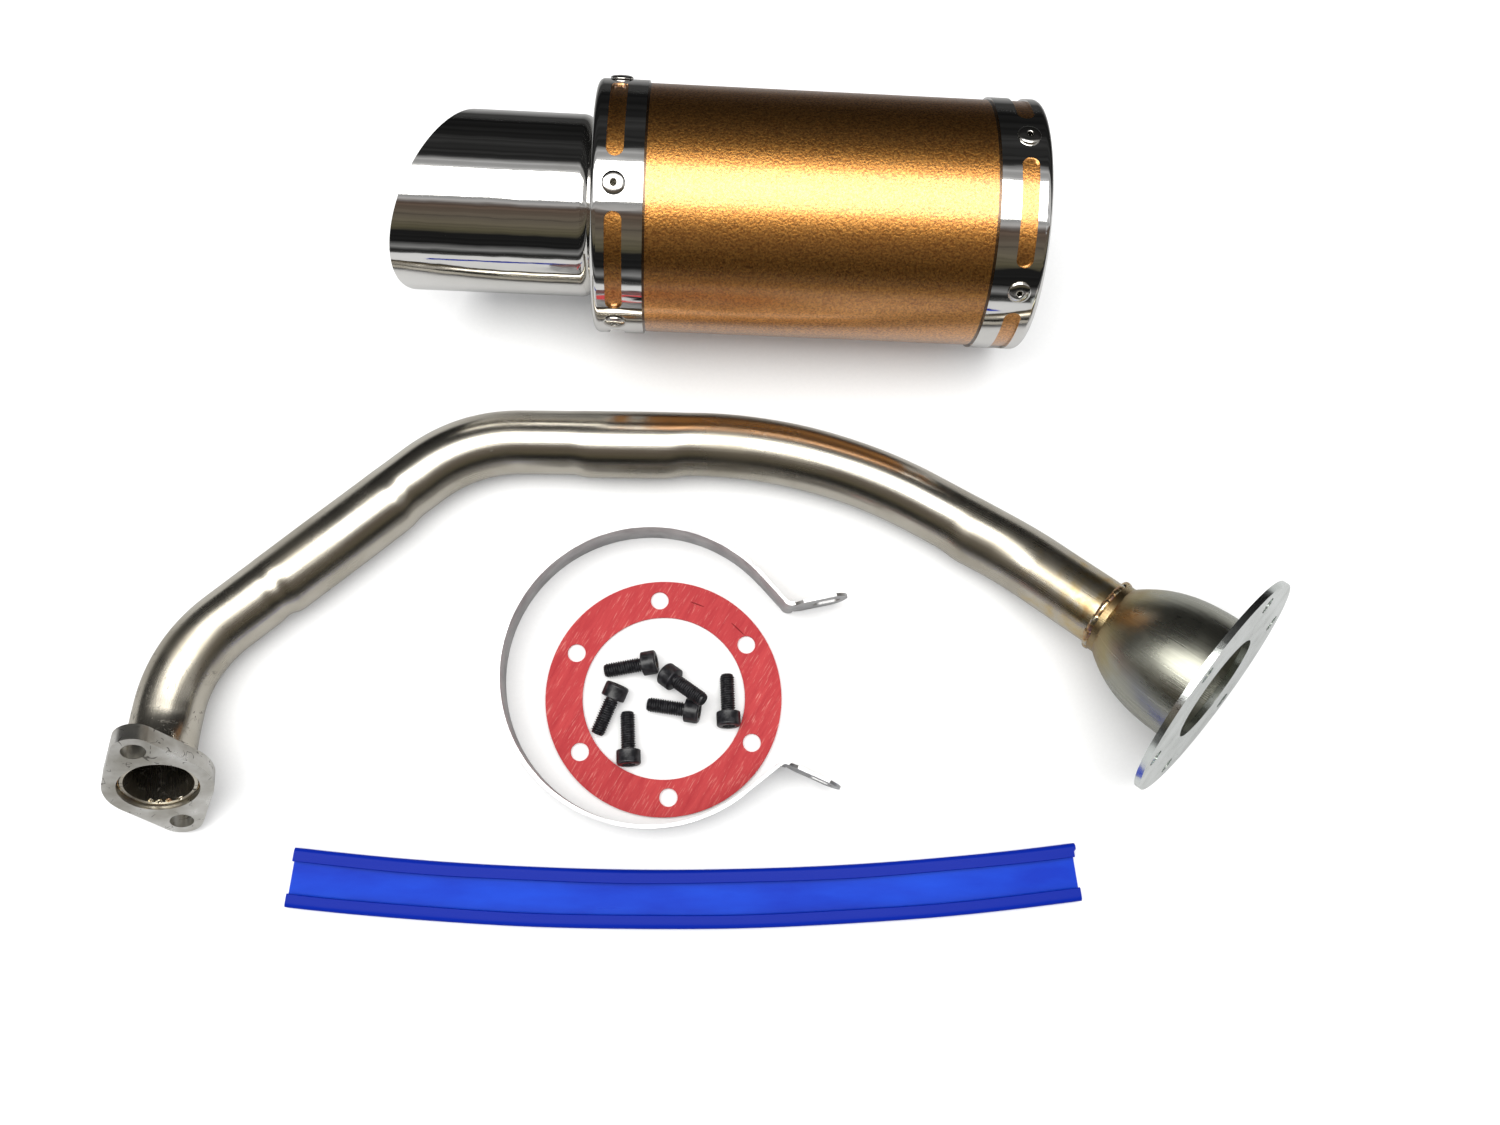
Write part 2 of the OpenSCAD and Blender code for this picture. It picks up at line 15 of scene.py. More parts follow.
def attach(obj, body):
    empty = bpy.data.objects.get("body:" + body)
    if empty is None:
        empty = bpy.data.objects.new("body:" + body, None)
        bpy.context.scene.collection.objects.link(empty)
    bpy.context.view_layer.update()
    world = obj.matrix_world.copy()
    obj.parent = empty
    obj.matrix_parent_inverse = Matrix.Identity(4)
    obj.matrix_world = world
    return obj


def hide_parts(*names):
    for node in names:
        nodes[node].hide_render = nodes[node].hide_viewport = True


MM = 0.001
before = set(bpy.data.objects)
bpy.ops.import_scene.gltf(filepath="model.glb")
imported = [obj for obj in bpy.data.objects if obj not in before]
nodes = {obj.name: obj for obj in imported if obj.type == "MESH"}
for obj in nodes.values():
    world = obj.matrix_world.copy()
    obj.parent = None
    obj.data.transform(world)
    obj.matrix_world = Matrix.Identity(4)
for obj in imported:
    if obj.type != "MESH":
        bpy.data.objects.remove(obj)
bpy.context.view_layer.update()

# %% [markdown]
# The camera looks nearly straight down from a little over half a metre. A camera is placed by
# three directions at right angles: right, up and back, which are the columns of its matrix.

# %% Camera
CAMERA_AT = (-0.0113, -0.1327, 0.576)
forward = Vector((0.0481, 0.1952, -0.9796)).normalized()
right = Vector((0.9988, 0.0, 0.0490)).normalized()
up = right.cross(forward).normalized()
right = forward.cross(up)
camera_data = bpy.data.cameras.new("lesson_camera")
camera_data.sensor_width = 36
camera_data.lens = 33.1
camera_data.clip_start = 0.01
camera = bpy.data.objects.new("lesson_camera", camera_data)
turn = Matrix((right, up, -forward)).transposed().to_4x4()
camera.matrix_world = Matrix.Translation(CAMERA_AT) @ turn
bpy.context.scene.collection.objects.link(camera)
bpy.context.scene.camera = camera
print("camera at", [round(c, 3) for c in camera.matrix_world.translation])

# %% [markdown]
# Polished metal shows what is around it, so the light is half of a metal's look. One long soft
# box hangs overhead, and everything else is dim: that gives the tubes one broad white band
# between dark ones. The table is a pale disc, and its pale reflection lights the lower sides.

# %% Light and table
def add(tree, kind, *values, **settings):
    """Adds a shader node, sets its properties, and fills its inputs in order (None skips one)."""
    node = tree.nodes.new("ShaderNode" + kind)
    for key, value in settings.items():
        setattr(node, key, value)
    fill(tree, node, dict(enumerate(values)))
    return node


def fill(tree, node, inputs):
    """Sets or links a node's inputs: {name or number: a value, or another node's socket}."""
    for key, value in inputs.items():
        if value is None:
            continue
        if isinstance(value, bpy.types.NodeSocket):
            tree.links.new(value, node.inputs[key])
        else:
            node.inputs[key].default_value = value


def maths(tree, operation, *values):
    """One Math node; returns its result."""
    return add(tree, "Math", *values, operation=operation).outputs[0]


def ramp(tree, factor, stops):
    """A colour ramp. Each stop is (position, grey level or colour)."""
    node = add(tree, "ValToRGB", factor)
    elements = node.color_ramp.elements
    while len(elements) < len(stops):
        elements.new(1.0)
    for element, (position, colour) in zip(elements, stops):
        element.position = position
        rgb = colour if hasattr(colour, "__len__") else (colour, colour, colour)
        element.color = (*rgb, 1)
    return node.outputs[0]


world = bpy.data.worlds.new("studio")
bpy.context.scene.world = world
world.use_nodes = True
sky = world.node_tree
sky.nodes.clear()
way = add(sky, "SeparateXYZ", add(sky, "TexCoord").outputs["Generated"])
# The angle from straight up, towards +Y, as a share of a turn: 0.5 is straight up
lean = maths(sky, "ARCTAN2", way.outputs["Y"], way.outputs["Z"])
share = maths(sky, "MULTIPLY_ADD", lean, 0.5 / math.pi, 0.5)
streaks = add(sky, "TexNoise", None, share, 60.0, 3.0, noise_dimensions="1D").outputs[0]
ROOM = [(-180, 0.06), (-112, 0.30), (-104, 0.05), (-92, 0.03), (-88, 0.16), (-84, 0.12),
        (-80, 0.012), (-66, 0.012), (-61, (0.090, 0.080, 0.050)), (-45, (0.13, 0.11, 0.085)),
        (-30, (0.080, 0.055, 0.042)), (-22, 0.50), (22, 0.50), (30, 0.025), (45, 0.020),
        (57, 0.030), (66, 0.012), (100, 0.008), (120, 0.02), (180, 0.06)]
room = ramp(sky, share, [((angle + 180) / 360, tone) for angle, tone in ROOM])
streaky = maths(sky, "MULTIPLY_ADD", streaks, 1.6, 0.2)
reflected = add(sky, "Background", room, streaky).outputs[0]
open_air = add(sky, "Background", (1, 1, 1, 1), 1.0).outputs[0]
fill_light = add(sky, "Background", (0.97, 0.98, 1.0, 1), 0.85).outputs[0]
path = add(sky, "LightPath")
soft = add(sky, "MixShader", path.outputs["Is Diffuse Ray"], reflected, fill_light)
seen = add(sky, "MixShader", path.outputs["Is Camera Ray"], soft.outputs[0], open_air)
add(sky, "OutputWorld", seen.outputs[0])

box_high = 1.6
box_x = (-box_high * math.tan(math.radians(43)), box_high * math.tan(math.radians(24)))
box_y = box_high * math.tan(math.radians(17))
softbox = bpy.data.lights.new("softbox", "AREA")
softbox.shape = "RECTANGLE"
softbox.size = box_x[1] - box_x[0]
softbox.size_y = 2 * box_y
box_radiance = 4.3
softbox.energy = math.pi * softbox.size * softbox.size_y * box_radiance
softbox.color = (1.0, 0.99, 0.96)
lamp = bpy.data.objects.new("softbox", softbox)
lamp.location = (sum(box_x) / 2, 0.045, box_high)
lamp.visible_camera = False
bpy.context.scene.collection.objects.link(lamp)

bpy.context.scene.view_settings.view_transform = "Standard"
bpy.context.scene.view_settings.look = "None"
print("softbox %.2f x %.2f m, %.0f W" % (softbox.size, softbox.size_y, softbox.energy))

# %% [markdown]
# Every new surface here is a grid of points worked out with numpy and skinned with quads. A grid
# can close on itself round its columns (a tube), round its rows too (a ring), or end in a pole at
# each end (a solid with two tips).

# %% Surfaces from grids
def quads(rows, cols, ring):
    """The quads of a grid whose columns close on themselves; with ring, its rows do as well."""
    i, j = np.meshgrid(np.arange(rows if ring else rows - 1), np.arange(cols), indexing="ij")
    down, over = (i + 1) % rows, (j + 1) % cols
    return np.stack([i * cols + j, i * cols + over, down * cols + over, down * cols + j], -1)


def skin(name, grids, kind="ring", sharp=35):
    """Makes one object from grids of points, each (rows, columns, 3), in metres. kind is "ring";
    "poles", which closes the first and last rows with a fan round their middle point; or
    "strip", whose row runs out along one side of a bent strip and back along its other side, so
    quads from side to side close its ends."""
    points, faces, start = [], [], 0
    for grid in grids:
        rows, cols, _ = grid.shape
        face = quads(rows, cols, kind == "ring").reshape(-1, 4)
        cloud = grid.reshape(-1, 3)
        if kind == "poles":
            ends = np.array([grid[0].mean(0), grid[-1].mean(0)])
            ring = np.arange(cols)
            nxt = (ring + 1) % cols
            first, last = rows * cols, rows * cols + 1
            base = (rows - 1) * cols
            fans = [[nxt, ring, ring * 0 + first], [base + ring, base + nxt, ring * 0 + last]]
            fans = [np.stack([*fan, fan[2]], -1) for fan in fans]
            face = np.concatenate([face, *fans])
            cloud = np.concatenate([cloud, ends])
        if kind == "strip":
            k = np.arange(cols // 2 - 1)
            rung = np.stack([k, k + 1, cols - 2 - k, cols - 1 - k], -1)
            face = np.concatenate([face, rung, (rung + (rows - 1) * cols)[:, ::-1]])
        tri = cloud[face[:, [0, 1, 2]]]
        volume = np.einsum("ij,ij->i", tri[:, 0], np.cross(tri[:, 1], tri[:, 2])).sum()
        tri = cloud[face[:, [0, 2, 3]]]
        volume += np.einsum("ij,ij->i", tri[:, 0], np.cross(tri[:, 1], tri[:, 2])).sum()
        if volume < 0:
            face = face[:, ::-1]
        points.append(cloud)
        faces.append(face + start)
        start += len(cloud)
    lists = [list(dict.fromkeys(f)) for f in np.concatenate(faces).tolist()]
    mesh = bpy.data.meshes.new(name)
    mesh.from_pydata(np.concatenate(points).tolist(), [], lists)
    mesh.validate()
    mesh.polygons.foreach_set("use_smooth", np.ones(len(mesh.polygons), bool))
    mesh.set_sharp_from_angle(angle=math.radians(sharp))
    piece = bpy.data.objects.new(name, mesh)
    bpy.context.scene.collection.objects.link(piece)
    print(name, len(mesh.polygons), "faces")
    return piece


def follow(piece, values, name="along"):
    """Stores a vector at each point, so that a finish can follow the surface."""
    store = piece.data.attributes.new(name, "FLOAT_VECTOR", "POINT")
    store.data.foreach_set("vector", np.asarray(values, np.float32).reshape(-1))


def unit(v):
    """The vectors scaled to length one."""
    return v / np.linalg.norm(v, axis=-1, keepdims=True)


def frame_at(origin, z, x):
    """A 3 x 4 frame: +Z along z, +X as near to x as it can be. The CAD's frames are made so."""
    c = unit(np.array(z, float))
    a = unit(np.array(x, float) - np.dot(x, c) * c)
    return np.column_stack([a, np.cross(c, a), c, np.array(origin, float)])


def put(frame34, local):
    return (local @ frame34[:, :3].T + frame34[:, 3]) * MM


def heading(turn_deg, rise_deg=0.0):
    """Unit vector of a compass turn and a rise, both in degrees."""
    t, r = math.radians(turn_deg), math.radians(rise_deg)
    return np.array([math.cos(r) * math.cos(t), math.cos(r) * math.sin(t), math.sin(r)])


def lathe(profile, cols=96):
    """A profile of (radius, height) turned about +Z: each row is the ring of one profile point."""
    profile = np.asarray(profile, float)
    angle = np.linspace(0, 2 * math.pi, cols, endpoint=False)
    r, z = profile[:, :1], profile[:, 1:]
    return np.stack([r * np.cos(angle), r * np.sin(angle), z + 0 * angle], -1)

# %% [markdown]
# The header is one tube bent five times. A real bender squeezes the tube as it turns: the inside
# of each bend flattens, and where the former let go there is a step and a small crease. So the
# tube is a circle carried along the bent line, with its radius worked out for each point.

# %% Header pipe
PIPE_R, BORE_R = 14.0, 12.8
PORT_RISE, BELL_RISE = 30.8, 20
PORT_REACH, PORT_PLATE = 32.5, 7
JOINT_R, JOINT_PLATE = 49, 2.5
BELL_LONG = 44.5
port_n, bell_n = heading(-78.5, PORT_RISE), heading(-40.9, BELL_RISE)
# Each flange rests on its rim, so its lean gives the height of its middle
port_high = PORT_REACH * math.cos(math.radians(PORT_RISE)) + PORT_PLATE * port_n[2]
bell_high = JOINT_R * math.cos(math.radians(BELL_RISE)) + JOINT_PLATE * bell_n[2]
port_p = np.array([-211.1, -114.2, port_high])
bell_p = np.array([196.9, -75.8, bell_high])
corners = np.array([port_p - 2 * port_n, port_p - 22 * port_n, (-212, -61.5, PIPE_R),
                    (-102, 29.2, PIPE_R), (44, 29.4, PIPE_R),
                    bell_p - (bell_p[2] - PIPE_R) / bell_n[2] * bell_n,
                    bell_p - (JOINT_PLATE + BELL_LONG) * bell_n])
BEND_RADII = (45, 50, 62, 205, 60)


def bent_line(corners, radii, step):
    """Points and directions along straight runs that meet on tangent arcs of the given radii."""
    ways = unit(np.diff(corners, axis=0))
    points, tangents, start = [], [], corners[0]
    for corner, u, v, radius in zip(corners[1:-1], ways[:-1], ways[1:], radii):
        turn = math.acos(u @ v)
        first = corner - radius * math.tan(turn / 2) * u
        t = np.arange(0, 1, step / np.linalg.norm(first - start))[:, None]
        points.append(start + t * (first - start))
        tangents.append(u + 0 * t)
        centre = corner + radius / math.cos(turn / 2) * unit(v - u)
        out = unit(first - centre)
        t = np.arange(0, turn, step / radius)[:, None]
        points.append(centre + radius * (np.cos(t) * out + np.sin(t) * u))
        tangents.append(np.cos(t) * u - np.sin(t) * out)
        start = corner + radius * math.tan(turn / 2) * v
    t = np.linspace(0, 1, int(np.linalg.norm(corners[-1] - start) / step) + 2)[:, None]
    points.append(start + t * (corners[-1] - start))
    tangents.append(ways[-1] + 0 * t)
    return np.concatenate(points), np.concatenate(tangents)


def smooth_step(x, low, high):
    """Rises from 0 at low to 1 at high, level at both ends."""
    t = np.clip((x - low) / (high - low), 0, 1)
    return t * t * (3 - 2 * t)


line, tangent = bent_line(corners, BEND_RADII, 1.0)
gone = np.concatenate([[0], np.cumsum(np.linalg.norm(np.diff(line, axis=0), axis=1))])
pipe_long = gone[-1]
side = unit(np.cross(tangent, (0, 0, 1)))
lift = np.cross(side, tangent)
around_pipe = np.linspace(0, 2 * math.pi, 128, endpoint=False)
# Where the former held the tube, in millimetres from the engine flange: start, end, soft edge
HELD = [(9, 92, 7), (163, 235, 8), (286, 402, 10)]
# How far a held length is pressed in, on the inside and the outside of its bend
PRESSED_IN, PRESSED_OUT = 1.35, 0.12
# The creases: place, depth, width
CREASES = [(96.5, 1.05, 3.0), (159, 0.30, 5.0), (240, 0.30, 4.0), (281, 0.15, 5.0)]


def squeezed(s, phi):
    """How far the wall stands in from a true circle: a held length is flat on the inside of the
    bend and a little on the outside, and each crease is a narrow dent where a held length ends."""
    s, phi = s[:, None], phi[None, :]
    inner = (0.5 + 0.5 * np.cos(phi - 0.15)) ** 2.4
    dent = np.zeros(np.broadcast_shapes(s.shape, phi.shape))
    for start, end, soft_edge in HELD:
        held = smooth_step(s, start - soft_edge, start) * (1 - smooth_step(s, end, end + soft_edge))
        dent = dent + held * (PRESSED_IN * inner + PRESSED_OUT * (1 - inner))
    for place, depth, width in CREASES:
        slant = place + 3.0 * np.sin(phi)
        dent = dent + depth * inner ** 0.6 * np.exp(-(((s - slant) / width) ** 2))
    ripple = 0.05 * np.sin(s / 7.3 + 1.7 * np.sin(phi)) * np.sin(s / 23.0 + 2)
    return dent + ripple


def tube_wall(radius, rows):
    """One wall of the tube: a ring round each point of the line."""
    r = (radius - squeezed(gone[rows], around_pipe))[..., None]
    turn = around_pipe[None, :, None]
    out = np.cos(turn) * side[rows, None] + np.sin(turn) * lift[rows, None]
    return line[rows, None] + r * out


all_rows = np.arange(len(line))
outer, inner = tube_wall(PIPE_R, all_rows), tube_wall(BORE_R, all_rows[::-1])
header = skin("bent_header", [np.concatenate([outer, inner]) * MM])
station = np.concatenate([gone, gone[::-1]])[:, None] * MM
unrolled = [station + 0 * around_pipe, PIPE_R * MM * np.cos(around_pipe) + 0 * station,
            PIPE_R * MM * np.sin(around_pipe) + 0 * station]
follow(header, np.stack(unrolled, -1))
print("header pipe is %.0f mm long" % pipe_long)

# %% [markdown]
# A weld bead is a ring of overlapping round drops, because the welder dips the rod at each step.
# A torus shows that if its thickness swells and dips along its length.

# %% Weld beads
CAP_R, CAN_LONG = 50.0, 175
can_way = heading(-1.5)
can_frame = frame_at((-47.4, 119.3, CAP_R), can_way, (0, 0, -1))
port_frame = frame_at(port_p, port_n, (0, 0, 1))
bell_frame = frame_at(bell_p, bell_n, (0, 0, 1))
chance = np.random.default_rng(11)
STEPS_A_DROP = 10


def weld_bead(frame34, radius, height, thick, drops, cols=20):
    """A torus at the given radius and height whose thickness follows overlapping drops."""
    long_way = np.linspace(0, 2 * math.pi, drops * STEPS_A_DROP, endpoint=False)[:, None]
    short_way = np.linspace(0, 2 * math.pi, cols, endpoint=False)[None, :]
    phase = long_way * drops / (2 * math.pi) % 1
    sizes = chance.uniform(0.82, 1.12, drops)[(long_way * drops / (2 * math.pi)).astype(int)]
    wander = 0.12 * thick * np.sin(5 * long_way + 1) + 0.1 * thick * np.sin(11 * long_way)
    swell = thick * sizes * (0.72 + 0.28 * np.sqrt(np.clip(1 - phase ** 2, 0, 1)))
    r = radius + wander + swell * np.cos(short_way)
    z = height + 1.25 * swell * np.sin(short_way)
    local = np.stack([r * np.cos(long_way), r * np.sin(long_way), z], -1)
    return put(frame34, local)


def blob(frame34, centre, radii):
    """A drop of metal: a sphere stretched on three axes and pushed about by two waves."""
    v = np.linspace(0.12, math.pi - 0.12, 12)[:, None]
    u = np.linspace(0, 2 * math.pi, 18, endpoint=False)[None, :]
    wobble = 1 + 0.14 * np.sin(3 * u + 2 * v) + 0.1 * np.cos(4 * v)
    ball = np.stack([np.sin(v) * np.cos(u), np.sin(v) * np.sin(u), np.cos(v) + 0 * u], -1)
    return put(frame34, ball * wobble[..., None] * np.array(radii) + np.array(centre))


head_bead = skin("port_weld", [weld_bead(port_frame, 14.55, -3.0, 0.42, 34)], sharp=60)
# The drops of spatter inside the engine flange: middle and half sizes
SPATTER = [((-11.9, 4.4, -2.4), (1.0, 1.4, 0.9)), ((-12.4, 0.9, -2.5), (0.9, 1.1, 0.8)),
           ((-10.6, 7.0, -2.7), (1.1, 0.9, 0.8)), ((-12.6, -3.6, -2.6), (0.8, 1.3, 0.8))]
drops = [blob(port_frame, centre, radii) for centre, radii in SPATTER]
spatter = skin("port_spatter", drops, "poles", 60)
neck_bead = skin("bell_neck_weld", [weld_bead(bell_frame, 14.75, -50.9, 1.25, 26)], sharp=60)
mouth_bead = skin("bell_mouth_weld", [weld_bead(bell_frame, 28.0, -3.1, 0.62, 54)], sharp=60)
tip_bead = skin("tip_seam_weld", [weld_bead(can_frame, 21.5, -1.9, 0.6, 44)], sharp=60)

# %% [markdown]
# The bell is pressed from sheet: it opens fast from its collar and then runs nearly straight to
# its flange. It is a profile turned about the bell's axis, wall and all, so that it stays a shell.

# %% Bell
COLLAR, SHEET, MOUTH_R = 3.0, 1.2, 27.5
# How fast the bell opens: 1 is a cone
FLARE = 2.9
SNUG = 0.05
climb = np.linspace(0, BELL_LONG, 70)
collar_r = PIPE_R + SNUG + SHEET
bell_r = collar_r + (MOUTH_R - collar_r) * (1 - (1 - climb / BELL_LONG) ** FLARE)
back = -JOINT_PLATE - BELL_LONG
wall = np.column_stack([bell_r, back + climb])
shell = np.concatenate([[(collar_r - 0.25, back - COLLAR), (collar_r, back - COLLAR + 0.25)], wall,
                        (wall - (SHEET, 0))[::-1], [(PIPE_R + SNUG, back - COLLAR)]])
turned = lathe(shell, 160)
bell = skin("pressed_bell", [put(bell_frame, turned)])
follow(bell, turned * MM)

# %% [markdown]
# Each pop rivet has a domed head with a thin brim and the dark hole that its mandrel left. A
# cap's five rivets are one piece, because they are one set of the same fastener.

# %% Rivets
SKIRT = 46.2
RIVETS, RIVET_INSET = 5, 9


def join(outer34, inner34):
    """One frame inside another."""
    r = outer34[:, :3]
    return np.column_stack([r @ inner34[:, :3], r @ inner34[:, 3] + outer34[:, 3]])


dome = np.linspace(0, math.pi / 2, 14)
rivet_line = np.concatenate([
    [(1.1, SKIRT), (1.1, 50.9), (1.18, 51.25)],
    np.column_stack([1.45 + 3.05 * np.sin(dome), 50.42 + 1.0 * np.cos(dome)]),
    [(4.5, 50.12), (4.35, 50.05), (2.4, 50.05), (2.4, 46.25), (3.1, 45.9), (3.0, 44.9),
     (2.2, 44.6), (1.1, 44.5)]])
pop_rivet = lathe(rivet_line, 40)


def rivet_set(name, height, first):
    """A cap's rivets, at one height along the canister, with the first at the angle given."""
    rings = []
    for k in range(RIVETS):
        out = heading(first + 360 / RIVETS * k)
        seat34 = frame_at(np.array([0, 0, height]), out, (0, 0, -1))
        rings.append(put(join(can_frame, seat34), pop_rivet))
    return skin(name, rings, sharp=50)


outlet_set = rivet_set("outlet_rivet_set", RIVET_INSET, 51)
inlet_set = rivet_set("inlet_rivet_set", CAN_LONG - RIVET_INSET, 19)

# %% [markdown]
# A cap screw is one closed skin from the middle of its tip to the bottom of its hex socket. Its
# radius depends on both the height and the angle: a V thread that climbs one pitch each turn, a
# straight-knurled head, and a hexagon, whose radius is the flat's distance over a cosine.

# %% Cap screws
PITCH, DEPTH = 1.0, 0.6
SCREW_R, SHANK_LONG = 3.0, 16
HEAD_R, HEAD_HIGH = 5.0, 6
ACROSS_FLATS = 5
SOCKET_FLOOR = 18.6
angle = np.linspace(0, 2 * math.pi, 72, endpoint=False)[None, :]


def thread_rows():
    """A V thread that climbs one pitch each turn and fades out below the head."""
    z = np.linspace(0.0, SHANK_LONG - 0.5, 156)[:, None]
    phase = (z / PITCH - angle / (2 * math.pi)) % 1
    ridge = np.clip(1.25 * np.abs(2 * phase - 1) - 0.05, 0, 1)
    r = SCREW_R - DEPTH * (1 - ridge)
    lead_in = 2.35 + 0.55 * z
    r = np.minimum(r, lead_in)
    fade = smooth_step(z, 14.6, 15.4)
    return r * (1 - fade) + 2.45 * fade, z + 0 * angle


def even_rows(pairs):
    """Rows of constant radius and height."""
    r, z = np.array(pairs, float).T
    return r[:, None] + 0 * angle, z[:, None] + 0 * angle


def knurled_rows():
    """The side of the head, with straight grooves that run out at both ends."""
    z = np.array([16.35, 16.6, 16.9, 21.0, 21.25])[:, None]
    depth = np.array([0, 0.6, 1, 1, 0.2])[:, None]
    return HEAD_R - 0.16 * depth * (0.5 + 0.5 * np.cos(36 * angle)), z + 0 * angle


def hex_rows(pairs):
    """A hexagon: its radius is half its width over the cosine of the angle from a flat."""
    scale, z = np.array(pairs, float).T
    flat = (angle % (math.pi / 3)) - math.pi / 6
    r = ACROSS_FLATS / 2 / np.cos(flat)
    return scale[:, None] * r, z[:, None] + 0 * r


rows = [even_rows([(0.6, 0.06), (2.0, 0.0), (2.3, 0.02)]), thread_rows(),
        even_rows([(2.5, 15.8), (3.1, 16.0), (4.75, 16.0), (4.95, 16.15)]), knurled_rows(),
        even_rows([(4.9, 21.5), (4.55, 21.88), (4.3, 22.0), (3.2, 22.0)]),
        hex_rows([(1.06, 22.0), (1.0, 21.8), (1.0, 19.2)]),
        even_rows([(1.2, 18.9), (0.3, SOCKET_FLOOR)])]
radius = np.concatenate([r for r, _ in rows])
high = np.concatenate([z for _, z in rows])
cap_screw = np.stack([radius * np.cos(angle), radius * np.sin(angle), high], -1)
# A screw lies on its head's rim and its thread's tip. The second leans on the fourth's head
CORE_R = SCREW_R - DEPTH
RIM_AT = SHANK_LONG + HEAD_HIGH - 0.6
LIE = math.degrees(math.atan((HEAD_R - CORE_R) / SHANK_LONG))
LEAN_HIGH = 2 * HEAD_R + CORE_R + 0.2
LEAN = math.degrees(math.asin(LEAN_HIGH / math.hypot(RIM_AT, HEAD_R)) - math.atan2(HEAD_R, RIM_AT))
tip_high = CORE_R * math.cos(math.radians(LIE)) + 0.02
SCREWS = {"one": (-43.5, -65, 9.7), "three": (7.2, -66.3, -88), "four": (-25.6, -78.7, -9),
          "five": (-46.3, -91, 66.8), "six": (-33.9, -82.1, -87.3)}
screw_places = {name: ((x, y, tip_high), heading(way, LIE))
                for name, (x, y, way) in SCREWS.items()}
screw_places["two"] = ((-2.6, -78.1, LEAN_HIGH), heading(142.8, -LEAN))
SCREW_NAMES = ("one", "two", "three", "four", "five", "six")
screws = {}
for name in SCREW_NAMES:
    tip_point, axis = screw_places[name]
    place = frame_at(tip_point, axis, (0, 0, -1))
    screws[name] = skin("cap_screw_" + name, [put(place, cap_screw)], "poles", 50)
    poles = [(0, 0, 0), (0, 0, SOCKET_FLOOR)]
    follow(screws[name], np.concatenate([cap_screw.reshape(-1, 3), poles]) * MM)

# %% [markdown]
# The liner is a soft extrusion: a shallow channel whose lips fold in over its base. It lies in a
# lazy bow, so its section is carried along a very large arc. One lip was cut a little long.

# %% Liner
LINER_W, LINER_H, LINER_T, LIP = 23.4, 4.4, 1.2, 5.5
LINER_LONG, BOW = 319, 1303.0
LINER_X, LINER_Y, LINER_TURN = -14.7, -157.4, 0.3


def corner_arc(x, z, radius, start, end, steps=7):
    """A rounded corner of the section, round (x, z), between two angles in degrees."""
    t = np.radians(np.linspace(start, end, steps))
    return np.column_stack([x + radius * np.cos(t), z + radius * np.sin(t)])


half, out_r, in_r = LINER_W / 2, 1.7, 0.5
lip_top = np.column_stack([np.linspace(half - LIP + 0.3, half - out_r - 0.6, 4), [LINER_H] * 4])
lip_under = lip_top - (0, LINER_T)
outside = np.concatenate([[(half - LIP, LINER_H - 0.35)], lip_top,
                          corner_arc(half - out_r, LINER_H - out_r, out_r, 85, 0),
                          corner_arc(half - out_r, out_r, out_r, 0, -90), [(half - 4, 0), (0.01, 0)]])
inside = np.concatenate([[(half - LIP, LINER_H - LINER_T + 0.3)], lip_under,
                         corner_arc(half - out_r, LINER_H - out_r, in_r, 85, 0),
                         corner_arc(half - out_r, out_r, in_r, 0, -90),
                         [(half - 4, LINER_T), (0.01, LINER_T)]])
mirror = np.array([-1, 1])
outside = np.concatenate([outside, (outside * mirror)[::-1]])
inside = np.concatenate([inside, (inside * mirror)[::-1]])
section = np.concatenate([outside, inside[::-1]])
half_turn = LINER_LONG / BOW / 2
sweep = np.linspace(-half_turn, half_turn, 161)[:, None]
x, z = section[:, 0][None, :], section[:, 1][None, :]
longer = 0.9 * smooth_step(-x, 8.5, 9.5) * smooth_step(sweep, half_turn - 0.004, half_turn) / BOW
wave = 0.12 * np.sin(sweep * 95) * smooth_step(z, 1.0, LINER_H)
bearing = math.radians(-90 + LINER_TURN) + sweep + longer
out_from = BOW + x + wave * np.sign(x)
bowed = np.stack([LINER_X + out_from * np.cos(bearing),
                  LINER_Y + BOW + out_from * np.sin(bearing),
                  z + 0 * bearing], -1)
liner = skin("channel_liner_strip", [bowed * MM], "strip")

# %% [markdown]
# Real finishes are never even. Four effects are used again and again, so each is a node group
# with its own inputs: drawn grain, scratches, cloudy patches and the colours of heated steel.

# %% Effects that the finishes share
def effect(name, inputs, outputs):
    """Starts a shader node group. inputs and outputs are {name: (kind, value)}."""
    tree = bpy.data.node_groups.new(name, "ShaderNodeTree")
    for label, (kind, value) in inputs.items():
        socket = tree.interface.new_socket(label, in_out="INPUT", socket_type="NodeSocket" + kind)
        if value is not None:
            socket.default_value = value
    for label, kind in outputs.items():
        tree.interface.new_socket(label, in_out="OUTPUT", socket_type="NodeSocket" + kind)
    return tree, tree.nodes.new("NodeGroupInput").outputs, tree.nodes.new("NodeGroupOutput")


def blend_colour(tree, factor, a, b, mode="MIX"):
    """Blends colour a towards b by the factor, or multiplies them."""
    node = tree.nodes.new("ShaderNodeMix")
    node.data_type = "RGBA"
    node.blend_type = mode
    fill(tree, node, {0: factor, 6: a, 7: b})
    return node.outputs[2]


def stretched(tree, vector, stretch):
    """A vector scaled on each axis, which pulls out the noise that reads it."""
    return add(tree, "VectorMath", vector, stretch, operation="MULTIPLY").outputs[0]


# Drawn grain: noise pulled out along one direction, as rolls and belts leave it
grain, come, go = effect("drawn_grain",
                         {"Vector": ("Vector", None), "Stretch": ("Vector", (1, 1, 1)),
                          "Contrast": ("Float", 1.0)}, {"Grain": "Float"})
pulled = stretched(grain, come["Vector"], come["Stretch"])
fine = add(grain, "TexNoise", pulled, None, 1.0, 5.0, 0.6)
centred = maths(grain, "SUBTRACT", fine.outputs[0], 0.5)
fill(grain, go, {"Grain": maths(grain, "MULTIPLY_ADD", centred, come["Contrast"], 0.5)})

